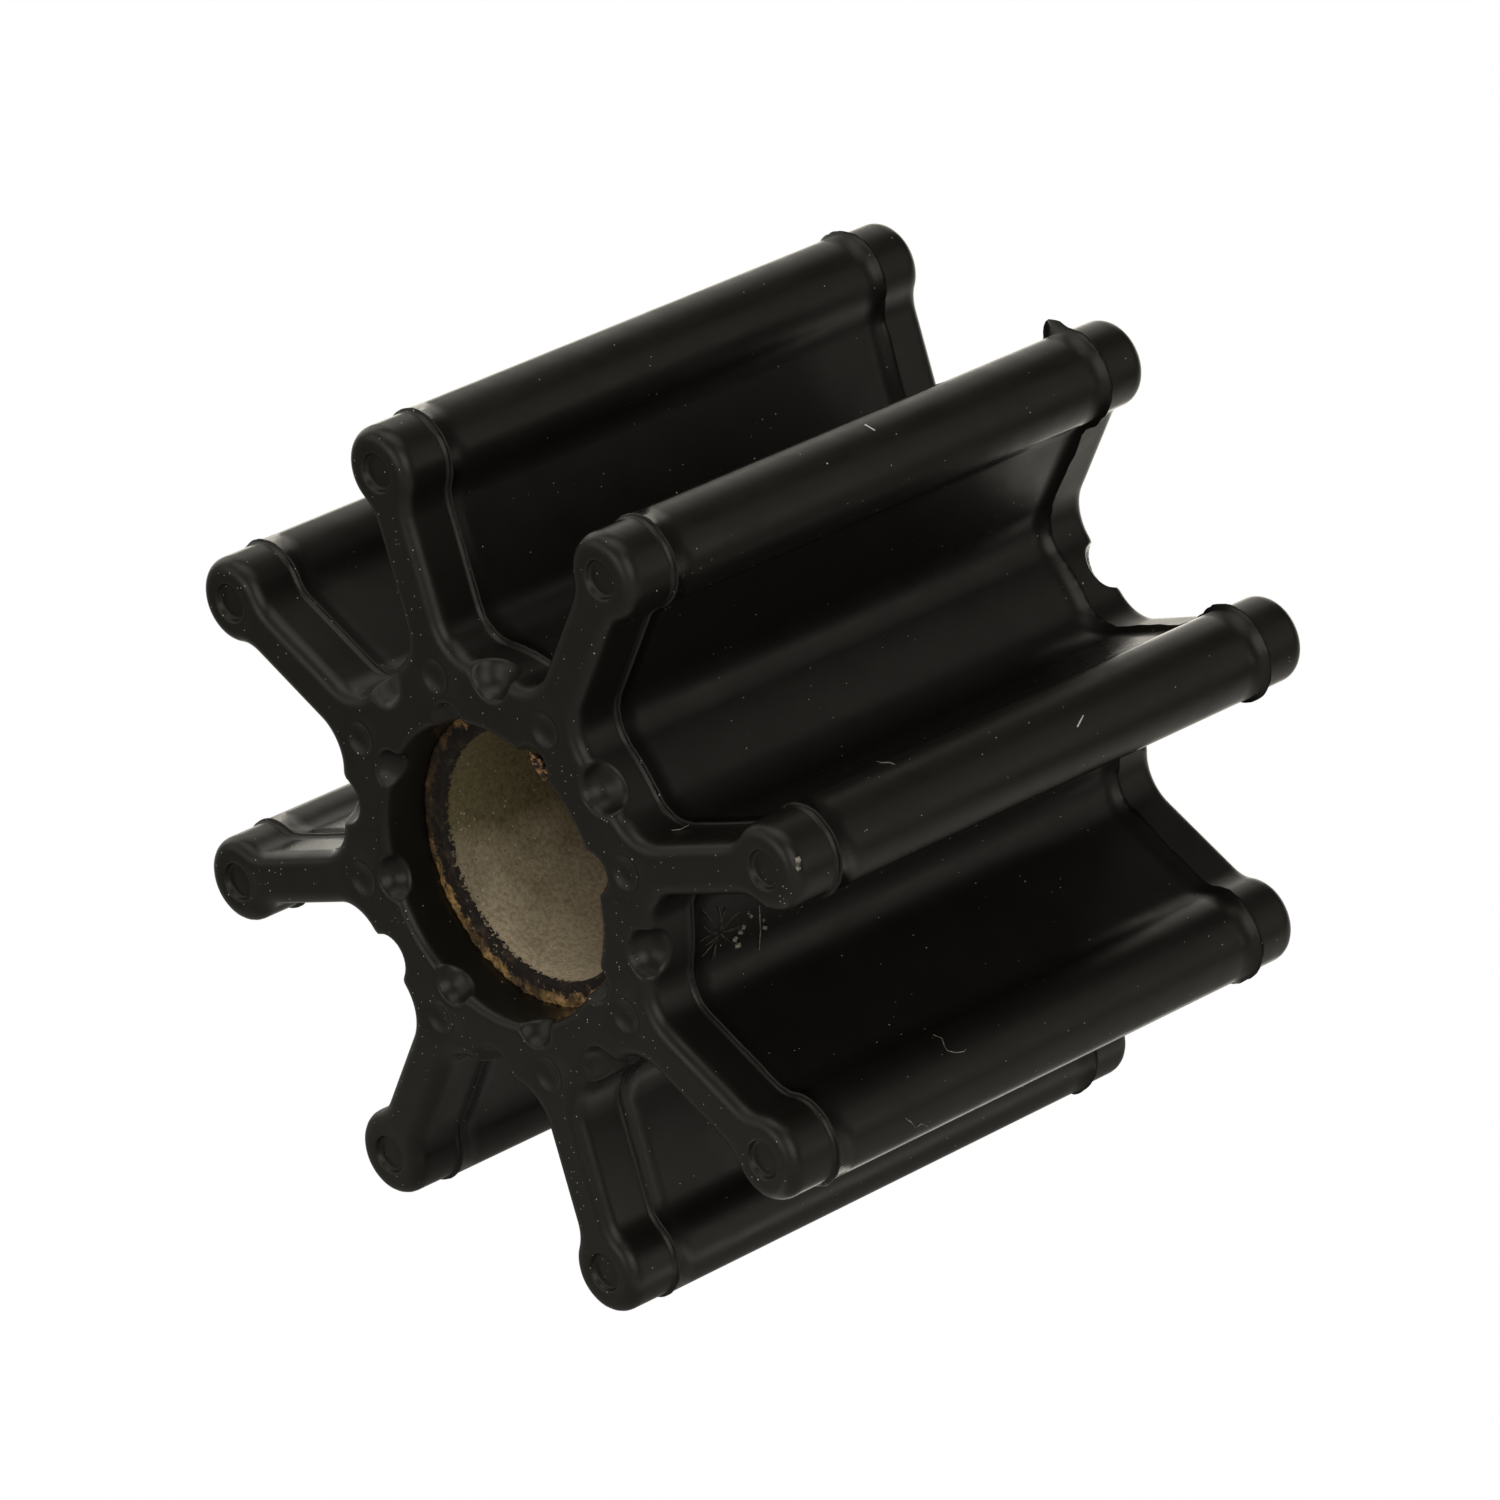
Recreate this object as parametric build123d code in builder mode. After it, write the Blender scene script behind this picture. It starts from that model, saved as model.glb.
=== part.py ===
"""Flexible rubber pump impeller with a bonded metal bush.

Millimetres.  The bore runs along Y with its middle at the origin, the front end
faces -Y, and +Z is up.  The impeller lies on two neighbouring blade tips, so one
gap between blades points straight down.
"""
import os

from build123d import *

# ---- driving dimensions ------------------------------------------------------
BLADES = 8
TIP_DIAMETER = 66.675         # 2 5/8 in over the blade tips
LENGTH = 50.8                 # 2 in over the two end faces
BORE_DIAMETER = 19.05         # for a 3/4 in shaft
BUSH_WALL = 2.475
BUSH_CHAMFER = 0.25

HUB_DIAMETER = 32.9
BLADE_THICKNESS = 4.2
BULB_DIAMETER = 6.74          # the round bead along each blade's tip
ROOT_RADIUS = 3.2             # between a blade and the hub
NECK_RADIUS = 2.8             # between a blade and its bulb

CAP_LENGTH = 4.1              # from each end face in to the mould's parting line
CAP_INSET = 0.12              # the two caps are slimmer all round than the middle
END_BREAK = 0.45              # broken edge along the outline of each end face

OPENING_DIAMETER = 22.5       # the rubber lips in front of the bush's end faces
LIP_LENGTH = 4.1              # from each end face in to the bush
LIP_BREAK = 0.4
NOTCH_DIAMETER = 3.1          # round notches in each lip, one at every blade
NOTCH_CENTRE_RADIUS = 11.3
NOTCH_DEPTH = 1.3

SCALLOP_DIAMETER = 3.7        # round pockets in the hub's edge, one in every gap
SCALLOP_CENTRE_RADIUS = 15.95
SCALLOP_DEPTH = 1.7
SCALLOP_TAPER = 25            # degrees, narrowing to a smaller floor

# ---- worked out from them ----------------------------------------------------
FIRST_BLADE = 180 / BLADES            # half a pitch above +X, so a gap lies on +X
FIRST_GAP = 0
BUSH_DIAMETER = BORE_DIAMETER + 2 * BUSH_WALL
BULB_CENTRE_RADIUS = (TIP_DIAMETER - BULB_DIAMETER) / 2
PARTING_OFFSET = LENGTH / 2 - CAP_LENGTH
BUSH_LENGTH = LENGTH - 2 * LIP_LENGTH

# every cross section is drawn on a plane that faces the front, -Y
MIDDLE = Plane.XZ
FRONT, BACK = MIDDLE.offset(LENGTH / 2), MIDDLE.offset(-LENGTH / 2)
ENDS = (FRONT, BACK)
TOLERANCE = 0.001


def draw_section(plane, inset):
    """Hub, blades and bulbs with rounded inner corners, slimmer all round by inset."""
    with BuildSketch(plane) as section:
        with Locations(Location((0, 0, 0), (0, 0, FIRST_BLADE))):
            Circle(HUB_DIAMETER / 2 - inset)
        with PolarLocations(BULB_CENTRE_RADIUS / 2, BLADES, start_angle=FIRST_BLADE):
            Rectangle(BULB_CENTRE_RADIUS, BLADE_THICKNESS - 2 * inset)
        with PolarLocations(BULB_CENTRE_RADIUS, BLADES, start_angle=FIRST_BLADE):
            with Locations(Location((0, 0, 0), (0, 0, 180))):
                Circle(BULB_DIAMETER / 2 - inset)
        fillet(section.vertices().group_by(SortBy.DISTANCE)[0], ROOT_RADIUS + inset)
        fillet(section.vertices().group_by(SortBy.DISTANCE)[-1], NECK_RADIUS + inset)
    return section.sketch


def sink_pockets(end, diameter, depth, centre_radius, first_angle, taper=0):
    """A ring of round pockets in an end face, narrowing to their floors by the taper."""
    with BuildSketch(end) as mouths:
        with PolarLocations(centre_radius, BLADES, start_angle=first_angle):
            Circle(diameter / 2)
    extrude(mouths.sketch, amount=-depth if end is FRONT else depth, taper=taper,
            mode=Mode.SUBTRACT)


# ---- the rubber body: one moulding ------------------------------------------------
with BuildPart() as rubber_body:
    # the two caps, right through, with the edges of their outlines broken
    extrude(draw_section(BACK, CAP_INSET), amount=LENGTH)
    end_faces = rubber_body.faces().filter_by(Axis.Y).sort_by(Axis.Y)
    chamfer([edge for face in end_faces for edge in face.outer_wire().edges()], END_BREAK)
    for end in ENDS:
        # pockets that break out through the hub's edge
        sink_pockets(end, SCALLOP_DIAMETER, SCALLOP_DEPTH, SCALLOP_CENTRE_RADIUS,
                     FIRST_GAP, SCALLOP_TAPER)

    # the full-size middle between the two parting lines
    extrude(draw_section(MIDDLE.offset(-PARTING_OFFSET), 0), amount=2 * PARTING_OFFSET)

    # the opening through both lips, with broken, notched rims
    with BuildSketch(BACK):
        Circle(OPENING_DIAMETER / 2)
    extrude(amount=LENGTH, mode=Mode.SUBTRACT)
    chamfer(rubber_body.edges(Select.LAST).filter_by(GeomType.CIRCLE).filter_by(
        lambda edge: abs(edge.radius - OPENING_DIAMETER / 2) < TOLERANCE), LIP_BREAK)
    for end in ENDS:
        sink_pockets(end, NOTCH_DIAMETER, NOTCH_DEPTH, NOTCH_CENTRE_RADIUS, FIRST_BLADE)
    # the seat that the bush is bonded into
    with BuildSketch(MIDDLE.offset(-BUSH_LENGTH / 2)):
        Circle(BUSH_DIAMETER / 2)
    extrude(amount=BUSH_LENGTH, mode=Mode.SUBTRACT)


# ---- the metal bush ----------------------------------------------------------------
with BuildPart() as bush:
    with BuildSketch(MIDDLE.offset(-BUSH_LENGTH / 2)):
        Circle(BUSH_DIAMETER / 2)
        Circle(BORE_DIAMETER / 2, mode=Mode.SUBTRACT)
    extrude(amount=BUSH_LENGTH)
    chamfer(bush.edges().filter_by(GeomType.CIRCLE).group_by(SortBy.RADIUS)[0], BUSH_CHAMFER)

os.makedirs("parts", exist_ok=True)
for name, piece in (("rubber_body", rubber_body), ("bush", bush)):
    piece.part.label = name
    export_step(piece.part, f"parts/{name}.step")
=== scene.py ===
"""Flexible rubber pump impeller with a bonded metal bush, lying on two blade tips.

Sizes are in millimetres and become metres when a piece is finished.  The bore runs
along Y, the front end faces -Y and +Z is up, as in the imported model.
"""
import math

import bmesh
import bpy
from mathutils import Matrix, Vector, noise


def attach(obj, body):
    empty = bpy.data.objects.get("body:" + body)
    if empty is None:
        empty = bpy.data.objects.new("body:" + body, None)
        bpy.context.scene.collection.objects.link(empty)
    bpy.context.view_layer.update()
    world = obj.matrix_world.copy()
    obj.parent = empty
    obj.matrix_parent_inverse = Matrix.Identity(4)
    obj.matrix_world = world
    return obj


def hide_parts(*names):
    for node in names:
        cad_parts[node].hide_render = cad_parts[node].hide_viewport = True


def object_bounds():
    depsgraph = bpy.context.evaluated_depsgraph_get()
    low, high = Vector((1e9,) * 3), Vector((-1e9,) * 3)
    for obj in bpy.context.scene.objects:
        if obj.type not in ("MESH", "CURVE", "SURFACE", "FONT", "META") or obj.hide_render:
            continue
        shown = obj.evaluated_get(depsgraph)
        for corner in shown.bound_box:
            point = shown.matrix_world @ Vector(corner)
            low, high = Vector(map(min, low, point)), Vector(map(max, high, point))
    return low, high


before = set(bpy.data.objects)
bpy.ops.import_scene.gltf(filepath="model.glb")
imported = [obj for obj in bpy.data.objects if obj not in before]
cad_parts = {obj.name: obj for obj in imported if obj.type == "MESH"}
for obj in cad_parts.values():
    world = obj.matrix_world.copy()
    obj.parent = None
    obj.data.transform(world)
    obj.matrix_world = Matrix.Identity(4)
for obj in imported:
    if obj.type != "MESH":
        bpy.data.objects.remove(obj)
CAD_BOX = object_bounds()

MM = 0.001
BODY = "root"

# ---- sizes of the rubber ---------------------------------------------------------
BLADES = 8
PITCH = 2 * math.pi / BLADES
LENGTH = 50.8
TIP_RADIUS = 66.675 / 2
HUB_RADIUS = 32.9 / 2
BLADE_HALF = 4.2 / 2
BULB_RADIUS = 6.74 / 2
ROOT_RADIUS = 3.2
NECK_RADIUS = 2.8
BULB_CENTRE = TIP_RADIUS - BULB_RADIUS
HUB_STEPS, ROOT_STEPS, BLADE_STEPS, NECK_STEPS, BULB_STEPS = 14, 20, 7, 8, 24
WELD = 1e-4                   # vertices closer than this are one

CAP_LENGTH = 4.1
CAP_INSET = 0.12
END_RADIUS = 1.1
HOLDING_STEP = 0.15           # flat margin inside the rounded edge of an end face
ROUND_STEPS = 6               # along each rounded edge
CAP_ROWS = (1.3, 1.8, 2.4, 3.0, 3.6)
MIDDLE_ROWS = (6, 12, 19, LENGTH / 2, LENGTH - 19, LENGTH - 12, LENGTH - 6)

# a doubled fin of flash: (distance from the parting line, share of the full height)
FLASH_PROFILE = ((-0.17, 0.0), (-0.13, 1.0), (-0.09, 0.9), (-0.05, -0.3), (0.05, -0.3),
                 (0.09, 0.9), (0.13, 1.0), (0.17, 0.0))
FRONT_FLASH_HEIGHT = 0.15
BACK_FLASH_HEIGHT = 0.38
TEAR_BLADE = 1                # this blade's bulb carries a torn shred of the back flash
TEAR_ANGLE = math.radians(60)
TEAR_HEIGHT = 0.9
TEAR_HALF = 1.1

OPENING_RADIUS = 22.5 / 2
LIP_RADIUS = 0.75
LIP_PATCH_RADIUS = 13.3       # outer edge of the fine mesh round the opening
LIP_PATCH_STEP = 0.16
LIP_ROWS = (0.8, 1.2, 1.8, 2.6, 3.4, CAP_LENGTH)
LIP_STEPS = 384
SEAT_RADIUS = 12.0

# round-bottomed pockets: radius, centre's distance from the axis, depth, softness of rim
SCALLOP = (1.85, 15.95, 1.8, 0.5)
NOTCH = (1.6, 11.3, 1.3, 0.5)
POCKET_WALL = 3               # slope of the wall above a pocket's round bottom
POCKET_FADE = 3.6             # the walls below a pocket are squeezed down to this depth
SCALLOP_REACH = 2.75          # half the width of the fine patch round each scallop
SCALLOP_ROWS = 10
SCALLOP_ROW_STEP = 0.16

DIMPLE_CENTRE = 14.95
DIMPLE_PROFILE = ((1.5, 0.0), (1.35, 0.02), (1.2, 0.07), (1.0, 0.16), (0.75, 0.26),
                  (0.4, 0.33), (0.1, 0.35))
PIN_PROFILE = ((1.8, 0.0), (1.62, 0.01), (1.5, 0.05), (1.43, 0.15), (1.38, 0.34),
               (1.3, 0.43), (1.1, 0.44), (0.7, 0.38), (0.3, 0.36))
DISC_STEPS = 32


# ---- bmesh helpers ---------------------------------------------------------------
def only(kind, items):
    """The vertices, edges or faces among what an operator returns."""
    return [item for item in items if isinstance(item, kind)]


def spin_arc(bm, vert, centre, angle, steps):
    """Carry a vertex round a centre in the XZ plane, leaving edges; return its end."""
    axis_point = Vector((centre[0], 0, centre[1]))
    result = bmesh.ops.spin(bm, geom=[vert], cent=axis_point, axis=(0, -1, 0),
                            angle=angle, steps=steps, use_duplicate=False)
    return only(bmesh.types.BMVert, result["geom_last"])[0]


def draw_line(bm, vert, end, steps):
    """Carry a vertex along a straight line in even steps; return its end."""
    step = (Vector((end[0], 0, end[1])) - vert.co) / steps
    for _ in range(steps):
        made = bmesh.ops.extrude_vert_indiv(bm, verts=[vert])["verts"][0]
        made.co += step
        vert = made
    return vert


def repeat_round(bm):
    """Mirror a half outline across the blade's line and repeat it at every blade."""
    bmesh.ops.mirror(bm, geom=bm.verts[:] + bm.edges[:], axis="Z", merge_dist=-1)
    half = bm.verts[:] + bm.edges[:]
    for number in range(1, BLADES):
        made = bmesh.ops.duplicate(bm, geom=half)["geom"]
        bmesh.ops.rotate(bm, verts=only(bmesh.types.BMVert, made), cent=(0, 0, 0),
                         matrix=Matrix.Rotation(number * PITCH, 3, "Y"))
    bmesh.ops.rotate(bm, verts=bm.verts, cent=(0, 0, 0),
                     matrix=Matrix.Rotation(-PITCH / 2, 3, "Y"))
    bmesh.ops.remove_doubles(bm, verts=bm.verts, dist=WELD)


def walk_loop(bm):
    """The vertices of a single closed wire in order."""
    bm.verts.ensure_lookup_table()
    first = bm.verts[0]
    order, previous, current = [first], None, first
    while True:
        following = [edge.other_vert(current) for edge in current.link_edges]
        following = [vert for vert in following if vert is not previous]
        previous, current = current, following[0]
        if current is first:
            return order
        order.append(current)


def outline_and_normals(bm):
    """Positions round a closed wire and the direction away from the rubber at each."""
    places = [vert.co.copy() for vert in walk_loop(bm)]
    normals = []
    for number, place in enumerate(places):
        before = (place - places[number - 1]).normalized()
        after = (places[(number + 1) % len(places)] - place).normalized()
        normals.append((before + after).cross(Vector((0, 1, 0))).normalized())
    area = sum(a.x * b.z - b.x * a.z for a, b in zip(places, places[1:] + places[:1]))
    if area > 0:
        normals = [-normal for normal in normals]
    return places, normals


def draw_blades():
    """The outline of hub, blades and bulbs."""
    bm = bmesh.new()
    root_x = math.sqrt((HUB_RADIUS + ROOT_RADIUS) ** 2 - (BLADE_HALF + ROOT_RADIUS) ** 2)
    root_angle = math.asin((BLADE_HALF + ROOT_RADIUS) / (HUB_RADIUS + ROOT_RADIUS))
    neck_run = math.sqrt((BULB_RADIUS + NECK_RADIUS) ** 2 - (BLADE_HALF + NECK_RADIUS) ** 2)
    neck_x = BULB_CENTRE - neck_run
    neck_angle = math.asin((BLADE_HALF + NECK_RADIUS) / (BULB_RADIUS + NECK_RADIUS))
    gap = PITCH / 2
    vert = bm.verts.new((HUB_RADIUS * math.cos(gap), 0, HUB_RADIUS * math.sin(gap)))
    vert = spin_arc(bm, vert, (0, 0), root_angle - gap, HUB_STEPS)
    vert = spin_arc(bm, vert, (root_x, BLADE_HALF + ROOT_RADIUS), math.pi / 2 - root_angle,
                    ROOT_STEPS)
    vert = draw_line(bm, vert, (neck_x, BLADE_HALF), BLADE_STEPS)
    vert = spin_arc(bm, vert, (neck_x, BLADE_HALF + NECK_RADIUS), math.pi / 2 - neck_angle,
                    NECK_STEPS)
    spin_arc(bm, vert, (BULB_CENTRE, 0), neck_angle - math.pi, BULB_STEPS)
    repeat_round(bm)
    result = outline_and_normals(bm)
    bm.free()
    return result


# ---- the rubber body -------------------------------------------------------------
def smooth_peak(value, softness):
    """Zero below zero and value above, with a soft change between the two."""
    return (value + math.sqrt(value * value + softness * softness)) / 2


def pocket_sink(x, z, turn, pocket):
    """How far a ring of round-bottomed pockets lowers an end face at a place."""
    radius, centre, depth, softness = pocket
    angle = math.atan2(z, x) - turn
    angle -= round(angle / PITCH) * PITCH
    distance = math.hypot(x, z)
    along, across = distance * math.cos(angle) - centre, distance * math.sin(angle)
    ball = (radius ** 2 + depth ** 2) / (2 * depth)
    span = math.hypot(along, across)
    if span < ball:
        sink = math.sqrt(ball * ball - span * span) - (ball - depth)
    else:
        sink = POCKET_WALL * (ball - span) - (ball - depth)
    flat = smooth_peak(-3 * softness, softness)
    return max(0.0, smooth_peak(sink, softness) - flat)


def flash_crest(place, height, seed):
    """The height of the ragged fin of flash at a place on the outline."""
    wave = noise.noise(Vector((place.x * 0.35, seed, place.z * 0.35)))
    chip = noise.noise(Vector((place.x * 1.6, seed + 7, place.z * 1.6)))
    crest = height * (0.95 + 0.5 * wave + 0.35 * chip)
    if height == BACK_FLASH_HEIGHT:
        x, z = around(BULB_CENTRE, TEAR_BLADE)
        angle = (TEAR_BLADE + 0.5) * PITCH + TEAR_ANGLE
        tear = Vector((x + BULB_RADIUS * math.cos(angle), 0, z + BULB_RADIUS * math.sin(angle)))
        share = 1 - (place - tear).length / TEAR_HALF
        crest += TEAR_HEIGHT * max(0.0, share) ** 0.7
    return crest


def side_rows(places):
    """(y, offset for each station) of the rows down the blades' sides, front to back."""
    rows = [(0, CAP_INSET + END_RADIUS + HOLDING_STEP)]
    for step in range(ROUND_STEPS + 1):
        angle = step / ROUND_STEPS * math.pi / 2
        rows.append((END_RADIUS * (1 - math.cos(angle)),
                     CAP_INSET + END_RADIUS * (1 - math.sin(angle))))
    rows += [(depth, CAP_INSET) for depth in CAP_ROWS]
    ends = []
    for height, seed in ((FRONT_FLASH_HEIGHT, 1), (BACK_FLASH_HEIGHT, 2)):
        crests = [flash_crest(place, height, seed) for place in places]
        end = [(depth, [-inset] * len(places)) for depth, inset in rows]
        for place, share in FLASH_PROFILE:
            base = -CAP_INSET if place < 0 else 0
            end.append((CAP_LENGTH + place, [base + share * crest for crest in crests]))
        ends.append(end)
    plain = [(depth, [0] * len(places)) for depth in MIDDLE_ROWS]
    back = [(LENGTH - depth, offsets) for depth, offsets in reversed(ends[1])]
    return [(depth - LENGTH / 2, offsets) for depth, offsets in ends[0] + plain + back]


def sweep(bm, loop, places, normals, station, rows):
    """Extrude a loop of edges through rows of (y, offset for each station)."""
    for y, offsets in rows:
        made = bmesh.ops.extrude_edge_only(bm, edges=loop)["geom"]
        verts = only(bmesh.types.BMVert, made)
        fresh = set(verts)
        loop = [edge for edge in only(bmesh.types.BMEdge, made)
                if fresh.issuperset(edge.verts)]
        for vert in verts:
            number = vert[station]
            vert.co = places[number] + normals[number] * offsets[number]
            vert.co.y = y
    return loop


def start_loop(bm, places, normals, station, y, offset):
    """A closed loop of edges with each vertex marked by its station."""
    verts = []
    for number, (place, normal) in enumerate(zip(places, normals)):
        vert = bm.verts.new(place + normal * offset)
        vert.co.y = y
        vert[station] = number
        verts.append(vert)
    return [bm.edges.new((verts[number - 1], vert)) for number, vert in enumerate(verts)]


def around(radius, number):
    """(x, z) at a radius on a blade's line."""
    angle = (number + 0.5) * PITCH
    return radius * math.cos(angle), radius * math.sin(angle)


def sink_disc(bm, profile, centre, y):
    """A round disc sunk in steps of (radius, depth) below an end; return its rim's edges."""
    facing = Matrix.Rotation(math.copysign(math.pi / 2, -y), 4, "X")
    place = Matrix.Translation((centre[0], y, centre[1])) @ facing
    made = bmesh.ops.create_circle(bm, cap_ends=True, segments=DISC_STEPS,
                                   radius=profile[0][0], matrix=place)
    face = made["verts"][0].link_faces[0]
    rim = face.edges[:]
    for (radius, depth), (next_radius, next_depth) in zip(profile, profile[1:]):
        bmesh.ops.inset_region(bm, faces=[face], thickness=radius - next_radius,
                               depth=depth - next_depth, use_boundary=True,
                               use_even_offset=True)
    return rim


def patch_scallops(bm, loop):
    """Extend an end's outline inward at each gap as a fine patch; return the new border."""
    border = dict.fromkeys(loop)
    for number in range(BLADES):
        gap = Vector((math.cos(number * PITCH), 0, math.sin(number * PITCH)))
        across = Vector((-gap.z, 0, gap.x))
        strip = [edge for edge in loop if all(
            vert.co.dot(gap) > 0 and abs(vert.co.dot(across)) < SCALLOP_REACH
            for vert in edge.verts)]
        for edge in strip:
            del border[edge]
        for _ in range(SCALLOP_ROWS):
            made = bmesh.ops.extrude_edge_only(bm, edges=strip)["geom"]
            verts = only(bmesh.types.BMVert, made)
            bmesh.ops.translate(bm, verts=verts, vec=-gap * SCALLOP_ROW_STEP)
            fresh = set(verts)
            edges = dict.fromkeys(edge for vert in verts for edge in vert.link_edges)
            strip = [edge for edge in edges if fresh.issuperset(edge.verts)]
            border.update((edge, None) for edge in edges
                          if len(edge.link_faces) == 1 and not fresh.issuperset(edge.verts))
        border.update(dict.fromkeys(strip))
    return list(border)


def spin_profile(bm, profile, steps):
    """Turn a wire of (radius, y) points once round the bore's axis."""
    wire = [bm.verts.new((radius, y, 0)) for radius, y in profile]
    edges = [bm.edges.new(pair) for pair in zip(wire, wire[1:])]
    bmesh.ops.spin(bm, geom=wire + edges, cent=(0, 0, 0), axis=(0, 1, 0),
                   angle=2 * math.pi, steps=steps, use_merge=True)
    bmesh.ops.remove_doubles(bm, verts=bm.verts, dist=WELD)


def opening_profile():
    """(radius, y) from the front face's inner edge, through the lips and the bush's seat."""
    end = []
    radius = LIP_PATCH_RADIUS
    while radius > OPENING_RADIUS + LIP_RADIUS + LIP_PATCH_STEP / 2:
        end.append((radius, 0))
        radius -= LIP_PATCH_STEP
    for step in range(ROUND_STEPS + 1):
        angle = step / ROUND_STEPS * math.pi / 2
        end.append((OPENING_RADIUS + LIP_RADIUS * (1 - math.sin(angle)),
                    LIP_RADIUS * (1 - math.cos(angle))))
    end += [(OPENING_RADIUS, depth) for depth in LIP_ROWS]
    end += [(SEAT_RADIUS, CAP_LENGTH)]
    front = [(radius, depth - LENGTH / 2) for radius, depth in end]
    return front + [(radius, -y) for radius, y in reversed(front)]


def make_rubber():
    """One moulding: blades with flash, rounded ends, scallops, dimples and notches."""
    bm = bmesh.new()
    station = bm.verts.layers.int.new("station")
    spin_profile(bm, opening_profile(), LIP_STEPS)
    ends = (-LENGTH / 2, LENGTH / 2)
    inner = {y: [edge for edge in bm.edges if len(edge.link_faces) == 1
                 and edge.verts[0].co.y * y > 0] for y in ends}
    discs = {y: [edge for number in range(BLADES)
                 for radius, profile in ((BULB_CENTRE, PIN_PROFILE),
                                         (DIMPLE_CENTRE, DIMPLE_PROFILE))
                 for edge in sink_disc(bm, profile, around(radius, number), y)]
             for y in ends}
    places, normals = draw_blades()
    rows = side_rows(places)
    first = start_loop(bm, places, normals, station, rows[0][0], rows[0][1][0])
    last = sweep(bm, first, places, normals, station, rows[1:])
    for y, outer in zip(ends, (first, last)):
        borders = patch_scallops(bm, outer) + inner[y] + discs[y]
        bmesh.ops.triangle_fill(bm, use_beauty=True, use_dissolve=False, edges=borders,
                                normal=(0, math.copysign(1, y), 0))
    for vert in bm.verts:
        x, y, z = vert.co
        depth = LENGTH / 2 - abs(y)
        if depth < POCKET_FADE:
            sink = max(pocket_sink(x, z, 0, SCALLOP), pocket_sink(x, z, PITCH / 2, NOTCH))
            vert.co.y -= math.copysign(sink * (1 - depth / POCKET_FADE), y)
    return finish_piece(bm, "rubber_impeller_body")


def finish_piece(bm, name):
    """A smooth-shaded object in metres with its place in its mesh."""
    bmesh.ops.recalc_face_normals(bm, faces=bm.faces)
    bmesh.ops.scale(bm, vec=(MM, MM, MM), verts=bm.verts)
    for face in bm.faces:
        face.smooth = True
    mesh = bpy.data.meshes.new(name)
    bm.to_mesh(mesh)
    bm.free()
    piece = bpy.data.objects.new(name, mesh)
    bpy.context.scene.collection.objects.link(piece)
    return piece


# ---- the bush --------------------------------------------------------------------
BORE_RADIUS = 19.05 / 2
BUSH_CHAMFER = 0.25
BUSH_HALF_LENGTH = LENGTH / 2 - CAP_LENGTH
BUSH_STEPS = 256
BUSH_RING_STEP = 0.1          # between the rings of mesh on its ends
GLUE_INNER = 10.55            # dried glue lies on the bush's ends from here
GLUE_OUTER = OPENING_RADIUS + 0.15
GLUE_HEIGHT = 0.28


def make_bush():
    """A plain ring with a crust of dried glue on both end faces."""
    half = BUSH_HALF_LENGTH
    front = [(BORE_RADIUS, -half + BUSH_CHAMFER)]
    radius = BORE_RADIUS + BUSH_CHAMFER
    while radius < OPENING_RADIUS + BUSH_RING_STEP:
        front.append((radius, -half))
        radius += BUSH_RING_STEP
    front.append((SEAT_RADIUS, -half))
    back = [(radius, -y) for radius, y in reversed(front)]
    bm = bmesh.new()
    spin_profile(bm, front + back + front[:1], BUSH_STEPS)
    for vert in bm.verts:
        x, y, z = vert.co
        radius = math.hypot(x, z)
        if abs(y) > half - 0.01 and GLUE_INNER < radius < GLUE_OUTER:
            lump = noise.noise(Vector((x * 1.3, y, z * 1.3)))
            crumb = noise.noise(Vector((x * 4.5, y + 9, z * 4.5)))
            rise = GLUE_HEIGHT * max(0.0, 0.35 + 0.7 * lump + 0.45 * crumb)
            vert.co.y += math.copysign(rise * min(1.0, (radius - GLUE_INNER) * 3), y)
    return finish_piece(bm, "bonded_metal_bush")


# ---- dried glue, painted shade in two glued notches, lint and fibres ---------------
# (centre, reach) in millimetres of a dark brown film in two notches: real glue, darkened further as
# painted shade on the notch floors
GLUE_AND_SHADE_NOTCHES = (((4.5, -24.0, 10.2), 1.5), ((10.7, -24.4, 4.1), 1.6))
GLUE_LUMPS = ((4.1, -24.75, 10.9), (4.35, -24.7, 10.65), (4.65, -24.65, 10.4),
              (4.95, -24.65, 10.15), (5.15, -24.7, 9.85), (5.3, -24.8, 10.2), (4.8, -24.9, 10.7))
LINT_CENTRE = (16.46, -18.64, -0.54)
LINT_CRUMBS = ((16.5, -15.93, 0.03), (16.48, -16.39, -0.93), (16.42, -17.21, -1.59),
               (16.46, -14.43, -1.12), (16.4, -14.27, -1.77), (16.38, -16.86, -2.24),
               (16.5, -15.7, -0.3), (16.45, -16.7, -1.2), (30.45, -24.72, 13.1),
               (30.6, -24.83, 12.9), (30.66, -24.87, 12.65))
WHITE_FIBRES = (
    ((11.63, -0.01, 31.08), (12.54, 0.07, 30.92)),
    ((30.46, 2.44, 13.46), (30.3, 2.88, 13.66), (30.12, 3.37, 13.88)),
)
GREY_FIBRES = (
    ((27.62, -8.6, -8.07), (28.37, -8.46, -8.12), (29.11, -8.9, -8.36), (29.38, -8.94, -8.5),
     (29.7, -8.47, -8.71), (29.86, -7.82, -8.84), (29.78, -7.45, -8.78)),
    ((31.05, -14.7, -10.96), (31.08, -14.14, -11.5), (31.0, -13.65, -12.2),
     (31.01, -13.08, -12.08), (30.87, -12.34, -12.65)),
    ((16.48, -14.86, 0.2), (16.38, -14.65, -1.87), (16.5, -14.87, -3.3)),
    ((25.4, -12.2, 14.15), (26.32, -12.62, 14.58), (26.99, -12.51, 14.8), (27.53, -12.56, 14.87)),
    ((15.78, -22.64, 8.88), (16.23, -22.25, 8.98), (16.4, -21.6, 9.16)),
)
LINT_RAYS = 15
RAY_SHARES = (0.12, 0.35, 0.6, 0.8, 1.0)      # of its length, where each ray is bent
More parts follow.
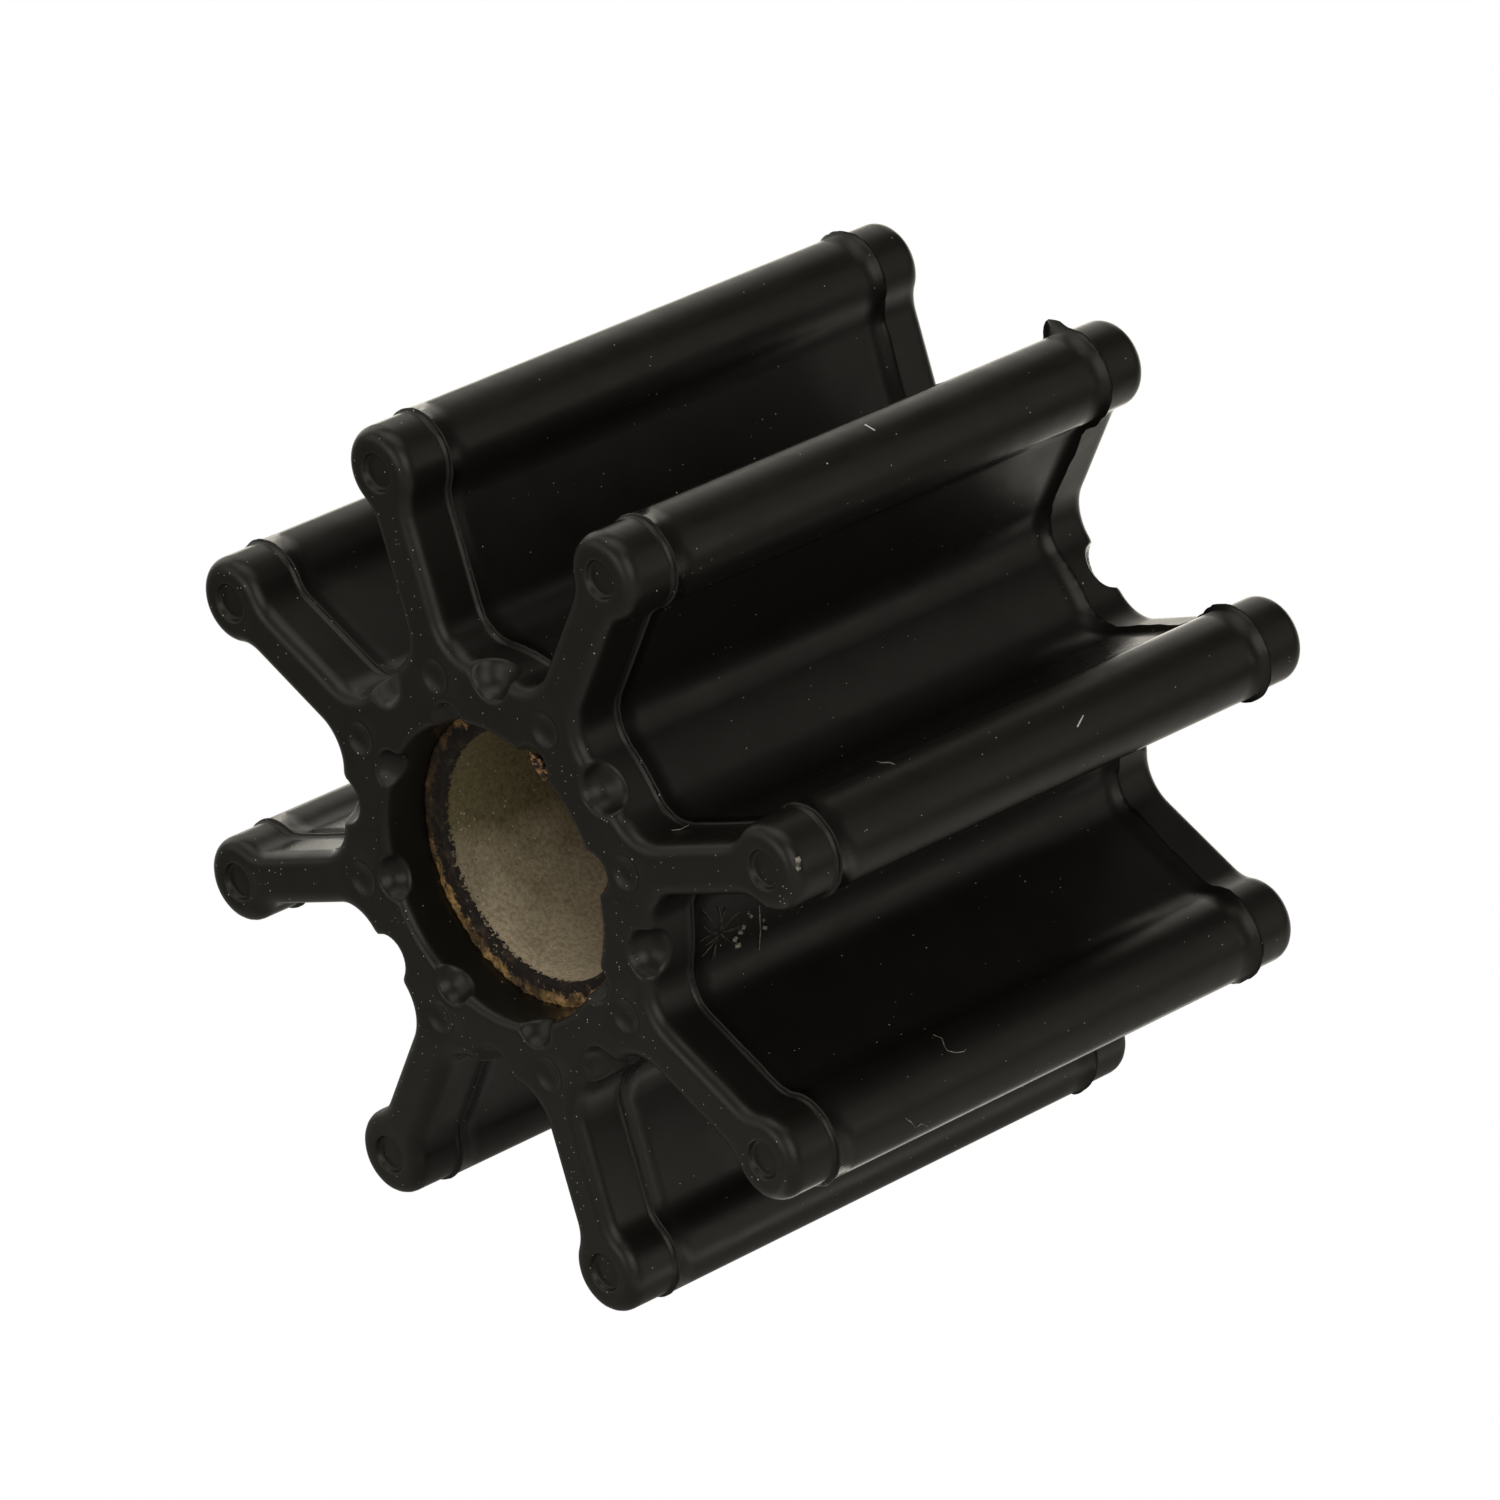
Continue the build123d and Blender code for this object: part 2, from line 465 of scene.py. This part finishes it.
WHITE_FIBRE_RADIUS, GREY_FIBRE_RADIUS = 0.055, 0.04
LINT_CRUMB_SIZES = (0.12, 0.16, 0.2)
GLUE_LUMP_SIZES = (0.32, 0.38, 0.44)


def lay_fibre(bm, points, radius):
    """A thin closed thread along points on the rubber."""
    points = [Vector(point) for point in points]
    heading = points[1] - points[0]
    turned = heading.to_track_quat("Z", "Y").to_matrix().to_4x4()
    made = bmesh.ops.create_circle(bm, cap_ends=True, segments=6, radius=radius,
                                   matrix=Matrix.Translation(points[0]) @ turned)
    end = made["verts"][0].link_faces[0]
    for start, stop in zip(points, points[1:]):
        turn = heading.rotation_difference(stop - start).to_matrix()
        heading = stop - start
        grown = bmesh.ops.extrude_face_region(bm, geom=[end])["geom"]
        end = only(bmesh.types.BMFace, grown)[0]
        bmesh.ops.rotate(bm, verts=end.verts, cent=start, matrix=turn)
        bmesh.ops.translate(bm, verts=end.verts, vec=heading)


def drop_crumb(bm, place, radius):
    """A small lump with an uneven surface."""
    made = bmesh.ops.create_icosphere(bm, subdivisions=3, radius=radius,
                                      matrix=Matrix.Translation(place))
    for vert in made["verts"]:
        out = vert.co - Vector(place)
        vert.co += out * 0.9 * noise.noise(vert.co * 1.4 / radius)


def drop_crumbs(bm, places, sizes):
    """A crumb at every place, in sizes that take turns."""
    for number, place in enumerate(places):
        drop_crumb(bm, place, sizes[number % len(sizes)])


def make_white_fibres():
    """Short bright threads."""
    bm = bmesh.new()
    for points in WHITE_FIBRES:
        lay_fibre(bm, points, WHITE_FIBRE_RADIUS)
    return finish_piece(bm, "white_fibres")


def make_lint_rays():
    """A patch of lint with threads running out from its middle."""
    bm = bmesh.new()
    centre = Vector(LINT_CENTRE)
    for number in range(LINT_RAYS):
        angle = 2 * math.pi * number / LINT_RAYS + 0.5 * noise.noise(Vector((number, 3.3, 0)))
        reach = 2.1 + 1.5 * noise.noise(Vector((number * 1.7, 8.1, 0)))
        out = Vector((0, math.cos(angle), math.sin(angle)))
        bend = Vector((0, -out.z, out.y)) * 0.5 * noise.noise(Vector((number * 2.3, 0, 5.7)))
        steps = [centre + out * reach * share + bend * math.sin(share * math.pi)
                 for share in RAY_SHARES]
        lay_fibre(bm, steps, GREY_FIBRE_RADIUS)
    return finish_piece(bm, "lint_threads")


def make_grey_dirt():
    """Curled fibres and crumbs."""
    bm = bmesh.new()
    for points in GREY_FIBRES:
        lay_fibre(bm, points, GREY_FIBRE_RADIUS)
    drop_crumbs(bm, LINT_CRUMBS, LINT_CRUMB_SIZES)
    return finish_piece(bm, "grey_fibres_and_crumbs")


def make_glue_lumps():
    """Dried glue that has run over one notch's floor."""
    bm = bmesh.new()
    drop_crumbs(bm, GLUE_LUMPS, GLUE_LUMP_SIZES)
    return finish_piece(bm, "dried_glue_lumps")


# ---- materials -------------------------------------------------------------------
class Pattern:
    """Short calls for the nodes of one material, all on object coordinates.

    A value is a number, a colour or another node's output.
    """

    def __init__(self, name):
        self.material = bpy.data.materials.new(name)
        self.material.use_nodes = True
        self.nodes, self.links = self.material.node_tree.nodes, self.material.node_tree.links
        self.shader = self.nodes["Principled BSDF"]
        self.place = self.nodes.new("ShaderNodeTexCoord").outputs["Object"]

    def link(self, value, socket):
        """Set a socket to a number or a colour, or wire an output to it."""
        if isinstance(value, (int, float)):
            socket.default_value = value
        elif isinstance(value, tuple):
            socket.default_value = (*value, 1)
        else:
            self.links.new(value, socket)

    def noise(self, scale, detail=2, roughness=0.5):
        """Smooth noise with so many waves to the metre."""
        node = self.nodes.new("ShaderNodeTexNoise")
        self.links.new(self.place, node.inputs["Vector"])
        node.inputs["Scale"].default_value = scale
        node.inputs["Detail"].default_value = detail
        node.inputs["Roughness"].default_value = roughness
        return node.outputs["Fac"]

    def math(self, kind, *values):
        """The result of one sum, product, power or comparison."""
        node = self.nodes.new("ShaderNodeMath")
        node.operation = kind
        for value, socket in zip(values, node.inputs):
            self.link(value, socket)
        return node.outputs[0]

    def remap(self, value, low, high, to_low=0.0, to_high=1.0):
        """A value moved from one range to another and held within it."""
        node = self.nodes.new("ShaderNodeMapRange")
        for name, number in (("From Min", low), ("From Max", high),
                             ("To Min", to_low), ("To Max", to_high)):
            node.inputs[name].default_value = number
        self.link(value, node.inputs["Value"])
        return node.outputs["Result"]

    def mix(self, share, first, second):
        """A colour between two others."""
        node = self.nodes.new("ShaderNodeMix")
        node.data_type = "RGBA"
        self.link(share, node.inputs[0])
        self.link(first, node.inputs[6])
        self.link(second, node.inputs[7])
        return node.outputs[2]

    def between(self, share, first, second):
        """A number between two others."""
        node = self.nodes.new("ShaderNodeMix")
        node.data_type = "FLOAT"
        self.link(share, node.inputs[0])
        self.link(first, node.inputs[2])
        self.link(second, node.inputs[3])
        return node.outputs[0]

    def axes(self, vector=None):
        """The X, Y and Z of the place, or of another vector."""
        node = self.nodes.new("ShaderNodeSeparateXYZ")
        self.links.new(vector or self.place, node.inputs[0])
        return node.outputs

    def specks(self, scale, size, share):
        """Small round specks, on a share of the cells of a grid of that scale."""
        node = self.nodes.new("ShaderNodeTexVoronoi")
        self.links.new(self.place, node.inputs["Vector"])
        node.inputs["Scale"].default_value = scale
        near = self.math("LESS_THAN", node.outputs["Distance"], size)
        colour = self.nodes.new("ShaderNodeSeparateColor")
        self.links.new(node.outputs["Color"], colour.inputs[0])
        chosen = self.math("LESS_THAN", colour.outputs[0], share)
        return self.math("MULTIPLY", near, chosen)

    def distance(self, point=(0, 0, 0)):
        """Metres from a point that is given in millimetres."""
        node = self.nodes.new("ShaderNodeVectorMath")
        node.operation = "DISTANCE"
        self.links.new(self.place, node.inputs[0])
        node.inputs[1].default_value = [value * MM for value in point]
        return node.outputs["Value"]

    def near(self, point, reach):
        """One inside a ball round a point, both in millimetres, with a soft edge."""
        return self.remap(self.distance(point), reach * MM, reach * 0.7 * MM)

    def bump(self, height, distance, strength=1.0, normal=None):
        """A normal tilted by a height, on top of another where one is given."""
        node = self.nodes.new("ShaderNodeBump")
        self.link(strength, node.inputs["Strength"])
        node.inputs["Distance"].default_value = distance
        self.link(height, node.inputs["Height"])
        if normal is not None:
            self.links.new(normal, node.inputs["Normal"])
        return node.outputs["Normal"]


RUBBER_BUMP = 0.3             # strength of every bump on the rubber
ON_END = (0.6, 0.95)          # how far a normal turns to Y between side and end face
SPECKLE = (0.35, 0.7)         # the part of the noise that mottles the bush
GLUE_SPLIT = (0.01065, 0.01085)       # from tar to crust, in metres from the axis


def make_rubber_material():
    """Black moulding rubber: faint grain, uneven gloss and a scatter of dust."""
    rubber = Pattern("moulded_black_rubber")
    geometry = rubber.nodes.new("ShaderNodeNewGeometry")
    facing = rubber.math("ABSOLUTE", rubber.axes(geometry.outputs["Normal"])[1])
    on_end = rubber.remap(facing, *ON_END)
    cloud = rubber.noise(160, 3)
    amount = rubber.math("MULTIPLY", rubber.remap(cloud, 0.4, 0.65, 0.15, 1.0),
                         rubber.remap(facing, *ON_END, 0.14, 1.0))
    dust = rubber.specks(3300, 0.13, rubber.math("MULTIPLY", amount, 0.3))
    crumbs = rubber.specks(1500, 0.09, rubber.math("MULTIPLY", amount, 0.12))
    specks = rubber.math("MAXIMUM", dust, crumbs)
    black = rubber.mix(rubber.noise(500, 3), (0.0068, 0.0064, 0.0055), (0.0092, 0.0088, 0.0077))
    film = rubber.mix(rubber.math("MULTIPLY", on_end, 0.25), black, (0.018, 0.017, 0.0152))
    dusty = rubber.mix(specks, film, (0.6, 0.57, 0.5))
    # dark brown in two notches: partly real glue, partly painted shade on the notches' floors
    glue_and_painted_shade = rubber.math("MAXIMUM", rubber.near(*GLUE_AND_SHADE_NOTCHES[0]), rubber.near(*GLUE_AND_SHADE_NOTCHES[1]))
    glue_and_painted_shade = rubber.math("MULTIPLY", glue_and_painted_shade, rubber.remap(rubber.noise(1300, 3, 0.6), 0.42, 0.52))
    rubber.link(rubber.mix(glue_and_painted_shade, dusty, (0.035, 0.015, 0.006)), rubber.shader.inputs["Base Color"])
    gloss = rubber.remap(rubber.noise(240, 4, 0.6), 0.3, 0.7, 0.34, 0.44)
    dull = rubber.math("MULTIPLY", rubber.math("MAXIMUM", specks, glue_and_painted_shade), 0.9)
    grazing = rubber.nodes.new("ShaderNodeLayerWeight")
    grazing.inputs["Blend"].default_value = 0.5
    gloss = rubber.math("MULTIPLY", gloss,
                        rubber.remap(grazing.outputs["Facing"], 0.72, 0.92, 1.0, 0.35))
    rubber.link(rubber.math("MAXIMUM", gloss, dull), rubber.shader.inputs["Roughness"])
    rubber.shader.inputs["Specular IOR Level"].default_value = 0.4
    waves = rubber.bump(rubber.noise(170, 2), 0.0003, RUBBER_BUMP)
    swell = rubber.bump(rubber.noise(420, 2), 0.0001, RUBBER_BUMP, waves)
    grain = rubber.bump(rubber.noise(4200, 3, 0.6), 0.000008, RUBBER_BUMP, swell)
    rubber.links.new(rubber.bump(specks, 0.00002, RUBBER_BUMP, grain),
                     rubber.shader.inputs["Normal"])
    return rubber.material


def make_bush_material():
    """Dull metal, speckled, olive up the bore as painted shade and pale at its bottom as painted
    light, with brown and gold glue on its ends, the gold partly painted light towards the bottom.
    """
    bush = Pattern("dull_bush_metal")
    x, y, z = bush.axes()
    radius = bush.math("POWER", bush.math("ADD", bush.math("MULTIPLY", x, x),
                                          bush.math("MULTIPLY", z, z)), 0.5)
    half = BUSH_HALF_LENGTH * MM
    shift = bush.remap(z, -0.003, -0.008, 0, 0.0003)
    ragged = bush.math("ADD", bush.math("ADD", radius, shift),
                       bush.remap(bush.noise(700, 4, 0.7), 0.3, 0.7, -0.0005, 0.0005))
    on_end = bush.remap(bush.math("ABSOLUTE", y), half - 0.0009, half - 0.0002)
    rim_noise = bush.remap(bush.noise(1500, 4, 0.7), 0.35, 0.65)
    speckle = bush.noise(2600, 3, 0.7)
    olive = bush.mix(bush.remap(speckle, *SPECKLE), (0.09, 0.074, 0.033), (0.192, 0.162, 0.088))
    pale_painted_light = bush.mix(bush.remap(speckle, *SPECKLE), (0.353, 0.285, 0.191), (0.67, 0.57, 0.434))
    # painted light and shade: the bore's wall goes from olive at the top, in painted shade, to pale
    # at the bottom, where the light falls in
    low = bush.remap(bush.math("ADD", z, bush.remap(bush.noise(300, 3), 0, 1, -0.004, 0.004)),
                     -0.002, -0.0095)
    wall = bush.mix(low, olive, pale_painted_light)
    bright = bush.specks(1900, 0.16, 0.3)
    wall = bush.mix(bush.math("MULTIPLY", bright, 0.6), wall, (0.6, 0.56, 0.42))
    # gold glue on the bush's ends, with painted light: more gold towards the bottom of the ring,
    # where the light falls, plus a gold patch at the upper left
    gold_and_painted_light = bush.math("MAXIMUM", bush.remap(z, -0.001, -0.006, 0.15, 1.0),
                       bush.near((-5.6, -BUSH_HALF_LENGTH, 9.2), 3.2))
    gold_and_painted_light = bush.math("MULTIPLY", gold_and_painted_light, bush.remap(bush.noise(420, 2), 0.38, 0.55, 0.2, 1.0))
    crust = bush.mix(bush.math("MULTIPLY", rim_noise, gold_and_painted_light), (0.014, 0.007, 0.004),
                     (0.6, 0.37, 0.14))
    tar = bush.mix(bush.remap(bush.noise(1200, 3), 0.5, 0.75), (0.008, 0.005, 0.004),
                   (0.06, 0.036, 0.022))
    band = bush.remap(ragged, *GLUE_SPLIT)
    glue = bush.mix(band, tar, crust)
    edge = bush.remap(bush.math("ADD", on_end, bush.remap(speckle, 0.3, 0.7, -0.6, 0.6)),
                      0.45, 0.6)
    bush.link(bush.mix(edge, wall, glue), bush.shader.inputs["Base Color"])
    bush.link(bush.remap(edge, 0, 1, 0.55, 0.85), bush.shader.inputs["Roughness"])
    bush.links.new(bush.bump(speckle, 0.00008, 0.7), bush.shader.inputs["Normal"])
    return bush.material


def make_dirt_material(name, dark, light, light_from=0.35):
    """Loose fibre or crumb, mottled between two colours."""
    fibre = Pattern(name)
    fibre.link(fibre.mix(fibre.remap(fibre.noise(2500, 3), light_from, 0.65), dark, light),
               fibre.shader.inputs["Base Color"])
    fibre.shader.inputs["Roughness"].default_value = 0.7
    fibre.links.new(fibre.bump(fibre.noise(6000, 2), 0.00003), fibre.shader.inputs["Normal"])
    return fibre.material


# ---- the studio ------------------------------------------------------------------
CAMERA_AZIMUTH = math.radians(46.0923)
CAMERA_ELEVATION = math.radians(27.9711)
CAMERA_ROLL = math.radians(0.108)
CAMERA_DISTANCE = 665.58
CAMERA_RIGHT, CAMERA_UP = 0.051, 0.727
LENS, SENSOR = 220.7, 36

LIGHT_COLOUR = (1, 0.955, 0.85)
WORLD_GLOW = 0.055
FLOOR_GLOW = {"front left": 0.1, "front right": 0.5, "back left": 1.7, "back right": 0.12,
              "under": 0.2, "strip": 1.3}
FLOOR_TURN = (-0.05, 0.1)     # from left to right and from front to back, in metres
FLOOR_UNDER = (0.02, 0.07)    # from under the part to the open floor
FLOOR_HALF = 4
STRIP_X, STRIP_HALF = 22, 3   # a brighter strip of floor below the gap beside the part
SOFTBOXES = (                 # name, place, size in metres, watts
    ("key_softbox", (-0.35, -0.25, 0.75), 0.6, 1.3),
    ("top_softbox", (0, 0, 0.8), 0.6, 1.05),
    ("high_back_left_softbox", (-0.6, 0.6, 0.45), 0.6, 0.84),
    ("high_back_right_softbox", (0.6, 0.6, 0.45), 0.6, 0.45),
    ("right_softbox", (0.85, 0.45, 0.1), 0.4, 0.42),
    ("front_right_softbox", (0.7, -0.5, 0.5), 0.7, 3.0),
    ("front_left_softbox", (-0.6, -0.6, 0.15), 0.6, 0.76),
    ("left_softbox", (-0.85, 0.1, 0.3), 0.6, 1.45),
    ("front_softbox", (-0.1, -0.85, 0.1), 0.5, 1.4),
    ("low_back_left_softbox", (-0.6, 0.75, 0.08), 0.4, 0.67),
)


def place_camera():
    """The camera in front of the part, to its right and above it."""
    back = Vector((math.sin(CAMERA_AZIMUTH) * math.cos(CAMERA_ELEVATION),
                   -math.cos(CAMERA_AZIMUTH) * math.cos(CAMERA_ELEVATION),
                   math.sin(CAMERA_ELEVATION)))
    right = Vector((math.cos(CAMERA_AZIMUTH), math.sin(CAMERA_AZIMUTH), 0))
    up = back.cross(right)
    data = bpy.data.cameras.new("camera")
    data.lens, data.sensor_width = LENS, SENSOR
    data.clip_start, data.clip_end = 0.05, 50
    camera = bpy.data.objects.new("camera", data)
    bpy.context.scene.collection.objects.link(camera)
    turned = Matrix((right, up, back)).transposed() @ Matrix.Rotation(CAMERA_ROLL, 3, "Z")
    place = (back * CAMERA_DISTANCE + right * CAMERA_RIGHT + up * CAMERA_UP) * MM
    camera.matrix_world = Matrix.Translation(place) @ turned.to_4x4()
    bpy.context.scene.camera = camera


def add_area_light(name, place, size, power):
    """A square softbox aimed at the part."""
    data = bpy.data.lights.new(name, "AREA")
    data.shape, data.size = "SQUARE", size
    data.energy, data.color = power, LIGHT_COLOUR
    light = bpy.data.objects.new(name, data)
    bpy.context.scene.collection.objects.link(light)
    light.location = place
    light.rotation_mode = "QUATERNION"
    light.rotation_quaternion = (-Vector(place)).to_track_quat("-Z", "Y")


def make_floor_material():
    """A lit white sheet: plain white to look at, dim and uneven in what it lights."""
    floor = Pattern("lit_paper_floor")
    x, y, _ = floor.axes()
    rightness, backness = floor.remap(x, *FLOOR_TURN), floor.remap(y, *FLOOR_TURN)
    farness = floor.remap(floor.distance(), *FLOOR_UNDER)
    front = floor.between(rightness, FLOOR_GLOW["front left"], FLOOR_GLOW["front right"])
    back = floor.between(rightness, FLOOR_GLOW["back left"], FLOOR_GLOW["back right"])
    open_floor = floor.between(backness, front, back)
    glow = floor.between(farness, FLOOR_GLOW["under"], open_floor)
    in_strip = floor.math("COMPARE", x, STRIP_X * MM, STRIP_HALF * MM)
    near_strip = floor.between(farness, in_strip, 0.0)
    glow = floor.between(near_strip, glow, FLOOR_GLOW["strip"])
    seen = floor.nodes.new("ShaderNodeLightPath").outputs["Is Camera Ray"]
    shader = floor.shader.inputs
    floor.link((0, 0, 0), shader["Base Color"])
    shader["Specular IOR Level"].default_value = 0
    floor.link(floor.mix(seen, LIGHT_COLOUR, (1, 1, 1)), shader["Emission Color"])
    floor.link(floor.between(seen, glow, 1.0), shader["Emission Strength"])
    return floor.material


def make_studio():
    """A dim world, a lit floor under the part and the softboxes."""
    world = bpy.data.worlds.new("studio")
    world.use_nodes = True
    backdrop = world.node_tree.nodes["Background"]
    backdrop.inputs["Color"].default_value = (*LIGHT_COLOUR, 1)
    backdrop.inputs["Strength"].default_value = WORLD_GLOW
    bpy.context.scene.world = world
    bpy.context.scene.view_settings.view_transform = "Standard"
    bm = bmesh.new()
    bmesh.ops.create_grid(bm, x_segments=1, y_segments=1, size=FLOOR_HALF)
    mesh = bpy.data.meshes.new("floor")
    bm.to_mesh(mesh)
    bm.free()
    floor = bpy.data.objects.new("floor", mesh)
    floor.location.z = CAD_BOX[0].z
    bpy.context.scene.collection.objects.link(floor)
    floor.data.materials.append(make_floor_material())
    for light in SOFTBOXES:
        add_area_light(*light)


place_camera()
make_studio()

rubber = make_rubber()
rubber.data.materials.append(make_rubber_material())
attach(rubber, BODY)
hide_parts("rubber_body")

bush = make_bush()
bush.data.materials.append(make_bush_material())
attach(bush, BODY)
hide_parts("bush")

for dirt, material in (
        (make_white_fibres(),
         make_dirt_material("white_fibre", (0.6, 0.62, 0.65), (0.9, 0.9, 0.9))),
        (make_lint_rays(),
         make_dirt_material("grey_lint", (0.03, 0.028, 0.024), (0.09, 0.085, 0.075))),
        (make_grey_dirt(),
         make_dirt_material("grey_fibre", (0.1, 0.095, 0.08), (0.34, 0.32, 0.28))),
        # the glue lumps are dark brown with tan patches, and the tan is partly painted highlight
        (make_glue_lumps(),
         make_dirt_material("dried_glue_and_painted_highlight", (0.012, 0.005, 0.002), (0.4, 0.22, 0.1), 0.5))):
    dirt.data.materials.append(material)
    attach(dirt, BODY)
